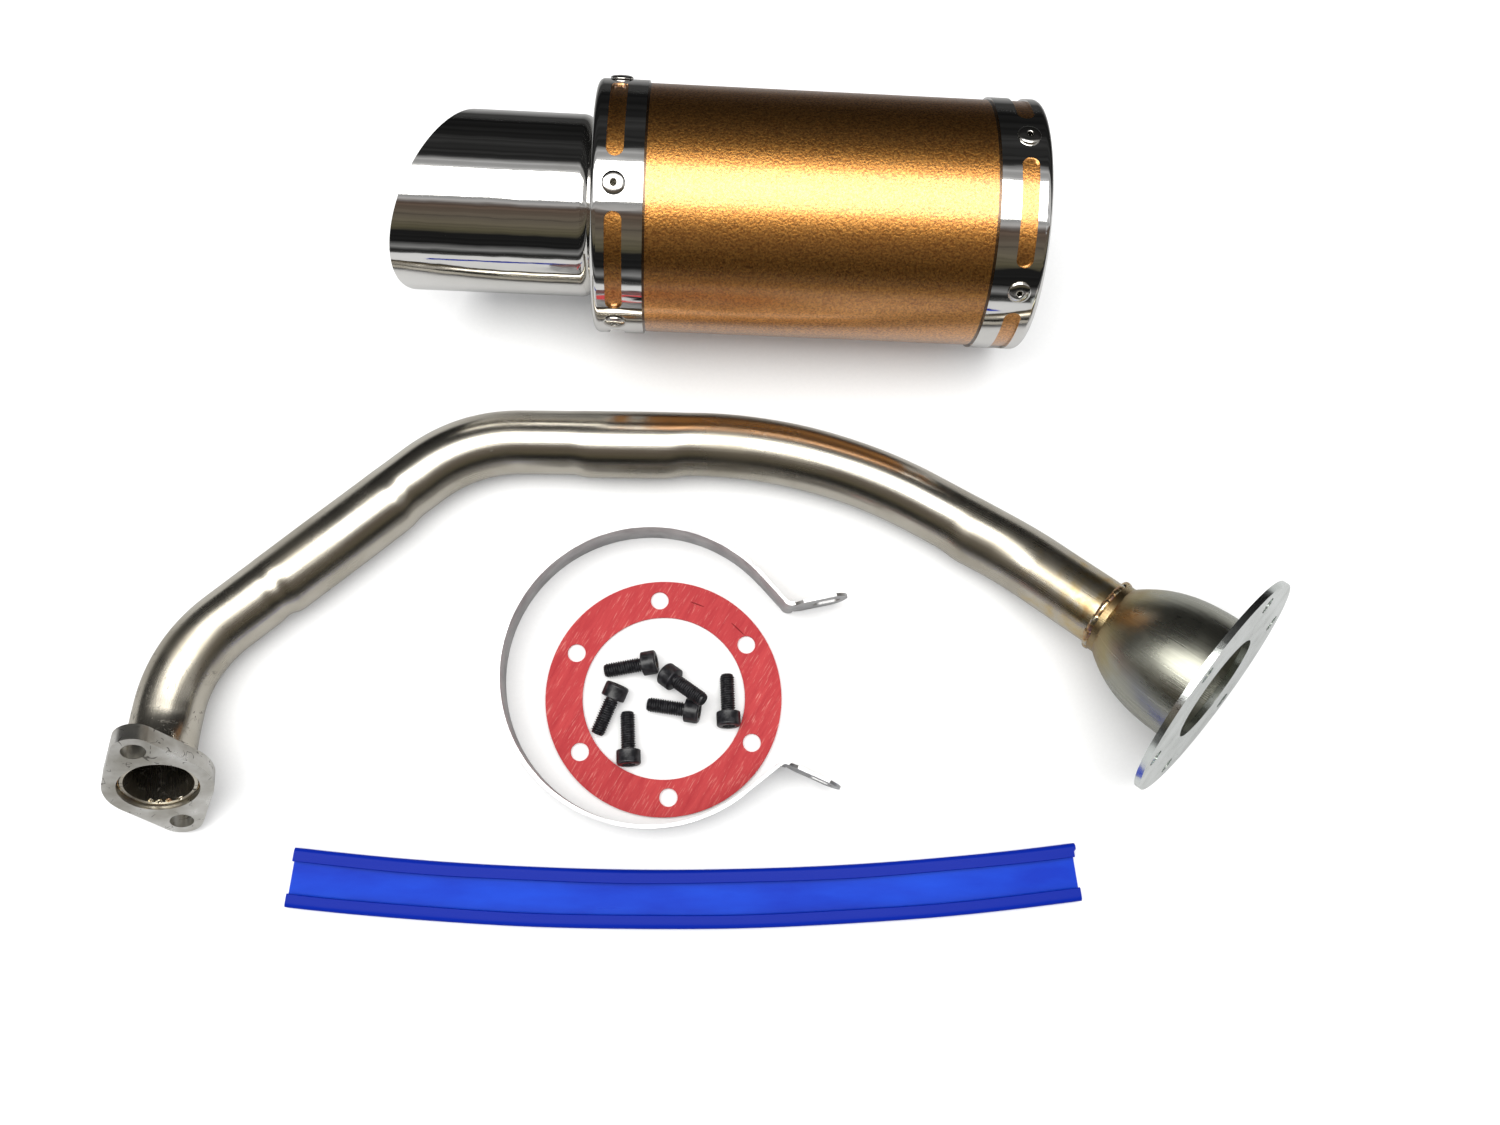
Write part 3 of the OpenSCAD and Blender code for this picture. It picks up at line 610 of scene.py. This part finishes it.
# Scratches: thin lines where a warped noise crosses its middle value, broken by another noise
scratch, come, go = effect("scratches", {"Vector": ("Vector", None), "Scale": ("Float", 60.0),
                                         "Width": ("Float", 0.012), "Cover": ("Float", 0.5)},
                           {"Mask": "Float"})
lines = add(scratch, "TexNoise", come["Vector"], None, come["Scale"], 2.0, 0.5)
lines.inputs["Distortion"].default_value = 1.2
apart = maths(scratch, "ABSOLUTE", maths(scratch, "SUBTRACT", lines.outputs[0], 0.5))
thin = maths(scratch, "LESS_THAN", apart, come["Width"])
patch_scale = maths(scratch, "MULTIPLY", come["Scale"], 2.3)
patches = add(scratch, "TexNoise", come["Vector"], None, patch_scale, 1.0)
level = maths(scratch, "SUBTRACT", 1.0, come["Cover"])
shown = maths(scratch, "GREATER_THAN", patches.outputs[0], level)
fill(scratch, go, {"Mask": maths(scratch, "MULTIPLY", thin, shown)})

# Clouds: soft patches between a low and a high value of a broad noise
clouds, come, go = effect("clouds", {"Vector": ("Vector", None), "Scale": ("Float", 20.0),
                                     "Low": ("Float", 0.4), "High": ("Float", 0.6)}, {"Mask": "Float"})
broad = add(clouds, "TexNoise", come["Vector"], None, come["Scale"], 4.0, 0.55)
reach = add(clouds, "MapRange", broad.outputs[0], come["Low"], come["High"], 0.0, 1.0)
fill(clouds, go, {"Mask": reach.outputs[0]})

# Heat tint: straw, brown, violet and blue as steel gets hotter towards a weld
tint, come, go = effect("heat_tint", {"Heat": ("Float", 0.0), "Bare": ("Color", (0.6, 0.6, 0.6, 1))},
                        {"Color": "Color"})
oxide = ramp(tint, come["Heat"], [(0.0, (1, 1, 1)), (0.25, (1.0, 0.86, 0.58)),
                                  (0.5, (0.80, 0.50, 0.26)), (0.75, (0.52, 0.34, 0.36)),
                                  (1.0, (0.34, 0.36, 0.46))])
fill(tint, go, {"Color": blend_colour(tint, 1.0, come["Bare"], oxide, "MULTIPLY")})
print("effects:", [t.name for t in (grain, scratch, clouds, tint)])

# %% [markdown]
# A finish is one Principled shader with effects in its sockets. Numbers that don't change over
# the surface are set on the shader itself.

# %% Helpers for finishes
def finish(name, colour=(0.5, 0.5, 0.5), **sockets):
    """Starts a material and returns it with its tree and its Principled shader."""
    material = bpy.data.materials.new(name)
    material.use_nodes = True
    tree = material.node_tree
    shader = tree.nodes["Principled BSDF"]
    shader.inputs["Base Color"].default_value = (*colour, 1)
    for label, value in sockets.items():
        shader.inputs[label.replace("_", " ")].default_value = value
    return material, tree, shader


def use(tree, shared, **inputs):
    """Places a shared effect with its own values and returns its output."""
    node = tree.nodes.new("ShaderNodeGroup")
    node.node_tree = shared
    fill(tree, node, inputs)
    return node.outputs[0]


def where(tree, attribute=None):
    """Object coordinates, or the vectors that follow() stored."""
    if attribute:
        return add(tree, "Attribute", attribute_name=attribute).outputs["Vector"]
    return add(tree, "TexCoord").outputs["Object"]


def bumped(tree, shader, height, strength, distance, base=None):
    """Gives a shader small relief. base is the normal of an earlier bump, to add to."""
    node = add(tree, "Bump")
    fill(tree, node, {"Strength": strength, "Distance": distance, "Height": height, "Normal": base})
    tree.links.new(node.outputs[0], shader.inputs["Normal"])
    return node.outputs[0]


def between(tree, value, low, high):
    """A value from 0 to 1, spread from low to high."""
    return add(tree, "MapRange", value, 0.0, 1.0, low, high).outputs[0]


def wear(piece_or_node, material):
    """Gives a piece one material."""
    slots = piece_or_node.data.materials
    slots.clear()
    slots.append(material)


# %% [markdown]
# The header is stainless tube, belt-polished along its length: sharp enough to mirror the soft
# box, with faint lines, dull clouds, a few scratches near its flange and straw to brown heat
# colours beside the bell's weld.

# %% Polished tube
tube, tree, shader = finish("polished_tube", (0.60, 0.56, 0.48), Metallic=1.0, Roughness=0.25)
spot = where(tree, "along")
lines = use(tree, grain, Vector=spot, Stretch=(25, 2600, 2600), Contrast=1.0)
broad_lines = use(tree, grain, Vector=spot, Stretch=(14, 420, 420), Contrast=1.2)
dull = use(tree, clouds, Vector=spot, Scale=28.0, Low=0.42, High=0.70)
far = add(tree, "SeparateXYZ", spot).outputs[0]
near_port = add(tree, "MapRange", far, 0.0, 0.09, 1.0, 0.0).outputs[0]
marks = use(tree, scratch, Vector=stretched(tree, spot, (1, 1, 0.4)), Scale=130.0, Width=0.010,
            Cover=0.48)
marks = maths(tree, "MULTIPLY", marks, near_port)
edge_waves = use(tree, clouds, Vector=spot, Scale=120.0, Low=0.35, High=0.65)
wavy = maths(tree, "MULTIPLY_ADD", edge_waves, 0.022, far)
pipe_end = pipe_long * MM
hot = add(tree, "MapRange", wavy, pipe_end - 0.030, pipe_end + 0.012, 0.0, 0.36).outputs[0]
blotches = use(tree, clouds, Vector=spot, Scale=170.0, Low=0.40, High=0.62)
hot = maths(tree, "MULTIPLY", hot, between(tree, blotches, 0.25, 1.25))
bare = blend_colour(tree, dull, (0.64, 0.60, 0.52, 1), (0.47, 0.43, 0.35, 1))
bare = blend_colour(tree, maths(tree, "MULTIPLY", marks, 0.75), bare, (0.10, 0.095, 0.09, 1))
tree.links.new(use(tree, tint, Heat=hot, Bare=bare), shader.inputs["Base Color"])
gloss = maths(tree, "MULTIPLY_ADD", dull, 0.12, between(tree, lines, 0.16, 0.27))
gloss = maths(tree, "ADD", gloss, maths(tree, "MULTIPLY", marks, 0.3))
tree.links.new(gloss, shader.inputs["Roughness"])
relief = maths(tree, "ADD", lines, maths(tree, "MULTIPLY", broad_lines, 1.5))
bumped(tree, shader, relief, 0.30, 0.00006)
wear(header, tube)

# %% [markdown]
# Both flanges are zinc-plated plate, scuffed by being packed loose. The engine flange has gone a
# little tan and dull; the bell's flange is newer, paler and greener, as fresh zinc is.

# %% Zinc plate
zinc, tree, shader = finish("zinc_plate", (0.66, 0.67, 0.66), Metallic=1.0, Roughness=0.3)
spot = where(tree)
cloudy = use(tree, clouds, Vector=spot, Scale=70.0, Low=0.35, High=0.65)
rolled = use(tree, grain, Vector=spot, Stretch=(300, 1600, 1600), Contrast=1.0)
scuffs = use(tree, scratch, Vector=spot, Scale=95.0, Width=0.007, Cover=0.45)
pale = blend_colour(tree, cloudy, (0.78, 0.77, 0.74, 1), (0.50, 0.48, 0.43, 1))
pale = blend_colour(tree, maths(tree, "MULTIPLY", scuffs, 0.8), pale, (0.10, 0.09, 0.08, 1))
tree.links.new(pale, shader.inputs["Base Color"])
tree.links.new(maths(tree, "MULTIPLY_ADD", cloudy, 0.14, between(tree, rolled, 0.20, 0.34)),
               shader.inputs["Roughness"])
bumped(tree, shader, maths(tree, "ADD", rolled, cloudy), 0.25, 0.0001)
wear(nodes["head_flange"], zinc)

bright, tree, shader = finish("bright_zinc", (0.88, 0.91, 0.90), Metallic=1.0, Roughness=0.2)
spot = where(tree)
cloudy = use(tree, clouds, Vector=spot, Scale=80.0, Low=0.35, High=0.70)
dents = use(tree, scratch, Vector=spot, Scale=120.0, Width=0.006, Cover=0.40)
pale = blend_colour(tree, cloudy, (0.93, 0.97, 0.95, 1), (0.74, 0.77, 0.74, 1))
pale = blend_colour(tree, maths(tree, "MULTIPLY", dents, 0.7), pale, (0.12, 0.12, 0.11, 1))
tree.links.new(pale, shader.inputs["Base Color"])
tree.links.new(between(tree, cloudy, 0.14, 0.26), shader.inputs["Roughness"])
bumped(tree, shader, cloudy, 0.25, 0.0002)
wear(nodes["bell_flange"], bright)

# %% [markdown]
# Weld metal cools with a dull skin on top of each drop and straw and brown between them. Noise
# finer than a drop breaks both up.

# %% Weld metal
weld, tree, shader = finish("weld_bead", (0.5, 0.45, 0.38), Metallic=1.0, Roughness=0.3)
spot = where(tree)
burnt = use(tree, clouds, Vector=spot, Scale=260.0, Low=0.35, High=0.70)
tree.links.new(use(tree, tint, Heat=maths(tree, "MULTIPLY", burnt, 0.8), Bare=(0.62, 0.60, 0.55, 1)),
               shader.inputs["Base Color"])
tree.links.new(between(tree, burnt, 0.16, 0.42), shader.inputs["Roughness"])
bumped(tree, shader, burnt, 0.4, 0.0002)
for piece in (head_bead, spatter, neck_bead, mouth_bead, tip_bead):
    wear(piece, weld)

# %% [markdown]
# The bell has the satin, slightly green-grey look of drawn steel, with fine lines that run from
# its neck to its mouth and a brown patch where the neck was welded.

# %% Drawn bell
drawn, tree, shader = finish("brushed_bell", (0.5, 0.5, 0.45), Metallic=1.0, Roughness=0.36)
spot = where(tree, "along")
part = add(tree, "SeparateXYZ", spot)
turned_by = maths(tree, "ARCTAN2", part.outputs[1], part.outputs[0])
round_x, round_y = maths(tree, "COSINE", turned_by), maths(tree, "SINE", turned_by)
flat_map = add(tree, "CombineXYZ", round_x, round_y, part.outputs[2]).outputs[0]
lines = use(tree, grain, Vector=flat_map, Stretch=(42, 42, 22), Contrast=1.1)
fine_lines = use(tree, grain, Vector=flat_map, Stretch=(110, 110, 60), Contrast=1.3)
patch = use(tree, clouds, Vector=spot, Scale=55.0, Low=0.38, High=0.62)
neck = add(tree, "MapRange", maths(tree, "MULTIPLY_ADD", patch, -0.007, part.outputs[2]),
           -0.056, -0.036, 0.50, 0.0).outputs[0]
body = blend_colour(tree, lines, (0.52, 0.52, 0.45, 1), (0.30, 0.30, 0.25, 1))
tree.links.new(use(tree, tint, Heat=neck, Bare=body), shader.inputs["Base Color"])
gloss = maths(tree, "MULTIPLY_ADD", patch, 0.06, between(tree, lines, 0.20, 0.33))
tree.links.new(gloss, shader.inputs["Roughness"])
relief = maths(tree, "ADD", lines, maths(tree, "MULTIPLY", fine_lines, 0.6))
bumped(tree, shader, relief, 0.5, 0.0001)
wear(bell, drawn)

# %% [markdown]
# The sleeve is aluminium, bead-blasted and then anodised gold. The blasting leaves grains under
# half a millimetre, each of which tips the surface a little, so the highlight breaks into sparks.

# %% Gold anodising
gold, tree, shader = finish("gold_anodised", (0.80, 0.33, 0.06), Metallic=1.0, Roughness=0.26,
                            Coat_Weight=1.0, Coat_Roughness=0.22, Coat_IOR=1.7)
spot = where(tree)
grit = use(tree, clouds, Vector=spot, Scale=1150.0, Low=0.36, High=0.64)
coarse = add(tree, "TexNoise", spot, None, 640.0, 1.0, 0.5).outputs[0]
soft_patch = use(tree, clouds, Vector=spot, Scale=16.0, Low=0.3, High=0.7)
amber = blend_colour(tree, grit, (0.50, 0.17, 0.020, 1), (1.0, 0.47, 0.10, 1))
amber = blend_colour(tree, maths(tree, "MULTIPLY", soft_patch, 0.12), amber, (0.66, 0.34, 0.09, 1))
# A painted shadow line where each cap's edge steps down onto the sleeve, found by its
# distance from the canister's middle
SEAM_AT, SEAM_WIDE = 67.1, 0.5
middle = (can_way @ can_frame[:, 3] + CAN_LONG / 2) * MM
dotted = add(tree, "VectorMath", spot, Vector(can_way), operation="DOT_PRODUCT")
from_middle = maths(tree, "SUBTRACT", dotted.outputs["Value"], middle)
seam = maths(tree, "COMPARE", maths(tree, "ABSOLUTE", from_middle), SEAM_AT * MM, SEAM_WIDE * MM)
# Painted shadow: the gold goes nearly black along that line
amber = blend_colour(tree, maths(tree, "MULTIPLY", seam, 0.85), amber, (0.03, 0.018, 0.008, 1))
tree.links.new(amber, shader.inputs["Base Color"])
tree.links.new(between(tree, coarse, 0.25, 0.36), shader.inputs["Roughness"])
bumped(tree, shader, maths(tree, "ADD", grit, coarse), 0.40, 0.00009)
wear(nodes["sleeve"], gold)

# %% [markdown]
# The caps and the tip are buffed stainless steel, a true mirror but for faint lines from the
# buffing wheel. Pressed sheet is never quite round, so a slow wave bends what it reflects.

# %% Mirror-polished stainless
chrome, tree, shader = finish("chrome_cap", (0.88, 0.87, 0.85), Metallic=1.0, Roughness=0.04)
spot = where(tree)
buffed = use(tree, grain, Vector=spot, Stretch=(60, 900, 900), Contrast=1.0)
smears = use(tree, clouds, Vector=spot, Scale=45.0, Low=0.45, High=0.75)
wavy = add(tree, "TexNoise", spot, None, 42.0, 2.0, 0.5).outputs[0]
tree.links.new(maths(tree, "MULTIPLY_ADD", smears, 0.035, between(tree, buffed, 0.018, 0.05)),
               shader.inputs["Roughness"])
tree.links.new(blend_colour(tree, smears, (0.90, 0.89, 0.87, 1), (0.82, 0.81, 0.78, 1)),
               shader.inputs["Base Color"])
pressed = bumped(tree, shader, wavy, 0.16, 0.0012)
bumped(tree, shader, buffed, 0.06, 0.0001, pressed)
for name in ("outlet_cap", "inlet_cap", "tip"):
    wear(nodes[name], chrome)

# %% [markdown]
# The rivets are bright drawn steel with dark smears. The parts inside the caps keep the grey
# skin and rolling lines of the sheet that they were cut from.

# %% Rivets and plain steel
rivet_steel, tree, shader = finish("rivet_steel", (0.78, 0.77, 0.75), Metallic=1.0, Roughness=0.12)
smears = use(tree, clouds, Vector=where(tree), Scale=320.0, Low=0.4, High=0.7)
tree.links.new(between(tree, smears, 0.08, 0.24), shader.inputs["Roughness"])
tree.links.new(blend_colour(tree, smears, (0.84, 0.83, 0.80, 1), (0.50, 0.47, 0.43, 1)),
               shader.inputs["Base Color"])
for piece in (outlet_set, inlet_set):
    wear(piece, rivet_steel)

plain, tree, shader = finish("plain_steel", (0.55, 0.55, 0.54), Metallic=1.0, Roughness=0.38)
spot = where(tree)
scale_marks = use(tree, clouds, Vector=spot, Scale=60.0, Low=0.3, High=0.7)
rolled = use(tree, grain, Vector=spot, Stretch=(200, 900, 900), Contrast=1.0)
tree.links.new(blend_colour(tree, scale_marks, (0.60, 0.60, 0.59, 1), (0.40, 0.39, 0.37, 1)),
               shader.inputs["Base Color"])
tree.links.new(between(tree, rolled, 0.28, 0.46), shader.inputs["Roughness"])
bumped(tree, shader, rolled, 0.2, 0.0001)
for name in ("outlet_bulkhead", "inlet_plate", "core_tube"):
    wear(nodes[name], plain)

# %% [markdown]
# The wadding round the core tube is a mat of yellowish glass strands, drawn as noise pulled out
# along one direction, with no shine.

# %% Glass-fibre packing
wadding, tree, shader = finish("glass_fibre", (0.86, 0.82, 0.62), Roughness=0.9)
spot = where(tree)
strands = use(tree, grain, Vector=spot, Stretch=(260, 1500, 1500), Contrast=1.4)
tree.links.new(blend_colour(tree, strands, (0.93, 0.90, 0.74, 1), (0.66, 0.60, 0.40, 1)),
               shader.inputs["Base Color"])
bumped(tree, shader, strands, 0.8, 0.0006)
wear(nodes["packing"], wadding)

# %% [markdown]
# The clamp is soft stainless strip with a satin, cloudy face.

# %% Satin band
satin, tree, shader = finish("satin_band", (0.55, 0.55, 0.55), Metallic=1.0, Roughness=0.42)
spot = where(tree)
rolled = use(tree, grain, Vector=spot, Stretch=(120, 120, 2400), Contrast=1.0)
smears = use(tree, clouds, Vector=spot, Scale=90.0, Low=0.35, High=0.65)
tree.links.new(blend_colour(tree, smears, (0.64, 0.64, 0.64, 1), (0.48, 0.48, 0.49, 1)),
               shader.inputs["Base Color"])
tree.links.new(maths(tree, "MULTIPLY_ADD", smears, 0.10, between(tree, rolled, 0.34, 0.46)),
               shader.inputs["Roughness"])
bumped(tree, shader, rolled, 0.3, 0.00008)
wear(nodes["clamp_band"], satin)

# %% [markdown]
# The liner is plastic with a blue dye. Its thin base has a painted glow, a lighter blue for the light
# that comes back from the table, and its doubled lips are darker, so the colour goes by height.

# %% Blue plastic
blue, tree, shader = finish("blue_liner", (0.006, 0.04, 0.36), Roughness=0.22)
fill(tree, shader, {"Transmission Weight": 0.08, "IOR": 1.45, "Specular IOR Level": 0.06})
spot = where(tree)
height = add(tree, "SeparateXYZ", spot).outputs[2]
thick = add(tree, "MapRange", height, 0.0014, 0.0030, 0.0, 1.0).outputs[0]
flow = use(tree, grain, Vector=spot, Stretch=(14, 300, 300), Contrast=1.0)
haze = use(tree, clouds, Vector=stretched(tree, spot, (0.3, 1, 1)), Scale=60.0, Low=0.35, High=0.7)
# Painted glow: the thin base gets the lighter blues, the doubled lips the darker one
clear = blend_colour(tree, haze, (0.001, 0.030, 0.44, 1), (0.004, 0.062, 0.60, 1))
tree.links.new(blend_colour(tree, thick, clear, (0.001, 0.016, 0.30, 1)),
               shader.inputs["Base Color"])
tree.links.new(between(tree, flow, 0.24, 0.36), shader.inputs["Roughness"])
bumped(tree, shader, flow, 0.08, 0.0002)
wear(liner, blue)

# %% [markdown]
# Gasket board is fibre rolled with rubber, dyed red. The fibres lie along one direction, some catch
# the light as a painted sheen of paler streaks, and a knife has left two short nicks near the rim.

# %% Red fibre
board, tree, shader = finish("red_fibre", (0.33, 0.03, 0.035), Roughness=0.72,
                             Specular_IOR_Level=0.15)
spot = where(tree)
laid = add(tree, "Mapping", spot, (0, 0, 0), (0, 0, math.radians(-60))).outputs[0]
fibres = use(tree, grain, Vector=laid, Stretch=(160, 1500, 900), Contrast=1.5)
coarse = use(tree, grain, Vector=laid, Stretch=(50, 420, 300), Contrast=1.4)
red = blend_colour(tree, coarse, (0.33, 0.022, 0.030, 1), (0.52, 0.065, 0.065, 1))
# Painted sheen: paler streaks on the fibres that catch the light
fibre_sheen = add(tree, "MapRange", fibres, 0.60, 0.82, 0.0, 0.6).outputs[0]
red = blend_colour(tree, fibre_sheen, red, (0.70, 0.26, 0.22, 1))
# Two knife nicks: each is a narrow ellipse, found by squeezing the plane round its middle
NICKS = [(-5.4, -36.4, -20, 3.2), (11.8, -46.8, -43, 3.9)]
NICK_WIDE = 0.28
for x, y, slope, long in NICKS:
    spin = Matrix.Rotation(math.radians(-slope), 3, "Z") @ Vector((x * MM, y * MM, 0))
    laid_flat = add(tree, "Mapping", spot, tuple(-spin), (0, 0, math.radians(-slope))).outputs[0]
    squeeze = stretched(tree, laid_flat, (1 / (long * MM), 1 / (NICK_WIDE * MM), 0))
    off_middle = add(tree, "VectorMath", squeeze, operation="LENGTH").outputs["Value"]
    nick = maths(tree, "LESS_THAN", off_middle, 1.0)
    red = blend_colour(tree, maths(tree, "MULTIPLY", nick, 0.8), red, (0.13, 0.006, 0.008, 1))
tree.links.new(red, shader.inputs["Base Color"])
bumped(tree, shader, maths(tree, "ADD", fibres, coarse), 0.5, 0.0002)
wear(nodes["gasket"], board)

# %% [markdown]
# Black oxide is a thin, dark skin on the screws. Handling rubs it a little greyer in patches,
# and there it is rougher too.

# %% Black oxide
black, tree, shader = finish("black_oxide", (0.02, 0.02, 0.022), Metallic=0.0, Roughness=0.34)
spot = where(tree, "along")
rubbed = use(tree, clouds, Vector=spot, Scale=420.0, Low=0.45, High=0.8)
tree.links.new(blend_colour(tree, rubbed, (0.010, 0.010, 0.012, 1), (0.045, 0.045, 0.05, 1)),
               shader.inputs["Base Color"])
tree.links.new(between(tree, rubbed, 0.28, 0.50), shader.inputs["Roughness"])
bumped(tree, shader, rubbed, 0.3, 0.0001)
for piece in screws.values():
    wear(piece, black)
print("finishes:", sorted(m.name for m in bpy.data.materials))

# %% [markdown]
# Each new piece hides the CAD solid that it stands for and rides on that solid's body.

# %% Tie the pieces to the model
STANDS_FOR = [
    (header, "header", "polished_tube", ["header_pipe"]),
    (head_bead, "header", "weld_bead", ["head_weld"]),
    (spatter, "header", "weld_bead", []),
    (neck_bead, "header", "weld_bead", ["neck_weld"]),
    (mouth_bead, "header", "weld_bead", ["mouth_weld"]),
    (bell, "header", "brushed_bell", ["bell"]),
    (tip_bead, "canister", "weld_bead", ["tip_weld"]),
    (outlet_set, "canister", "rivet_steel", ["outlet_rivets"]),
    (inlet_set, "canister", "rivet_steel", ["inlet_rivets"]),
    (liner, "channel_liner", "blue_liner", ["liner"]),
]
for k, name in enumerate(SCREW_NAMES, 1):
    STANDS_FOR.append((screws[name], "screw_" + name, "black_oxide", ["screw_%d" % k]))
for piece, body_name, slot_name, hidden in STANDS_FOR:
    if hidden:
        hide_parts(*hidden)
    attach(piece, body_name)

# %% [markdown]
# Bright metal would mirror all of it, so for reflections only the sheet has painted shade: it is
# toned down, and darker still to the front and the back, as it is where the soft box's light ends.

# %% Table
TABLE_R, TABLE_THICK, CLEAR_OF_KIT = 1.4, 0.02, 0.0002
table = skin("pale_table", [lathe([(TABLE_R, 0.0), (TABLE_R, -TABLE_THICK)])], "poles")
table.data.transform(Matrix.Translation((0, 0, -CLEAR_OF_KIT)))
paper, tree, shader = finish("pale_paper", (0.89, 0.89, 0.89), Roughness=0.9)
spot = where(tree)
fibre = use(tree, clouds, Vector=spot, Scale=700.0, Low=0.3, High=0.7)
sheet = blend_colour(tree, fibre, (0.90, 0.90, 0.90, 1), (0.88, 0.88, 0.88, 1))
across = add(tree, "SeparateXYZ", spot).outputs[1]
depth = add(tree, "MapRange", across, -1.0, 1.0, 0.0, 1.0).outputs[0]
# Painted shade, seen only in reflections: dim, and dimmer to the front and the back
reflection_shade = ramp(tree, depth, [(0.24, 0.03), (0.31, 0.42), (0.58, 0.44), (0.63, 0.14),
                              (0.67, 0.015)])
glossy = add(tree, "LightPath").outputs["Is Glossy Ray"]
tree.links.new(blend_colour(tree, glossy, sheet, reflection_shade), shader.inputs["Base Color"])
reach = add(tree, "VectorMath", spot, operation="LENGTH").outputs["Value"]
tree.links.new(add(tree, "MapRange", reach, 0.48, 1.15, 1.0, 0.0).outputs[0], shader.inputs["Alpha"])
wear(table, paper)
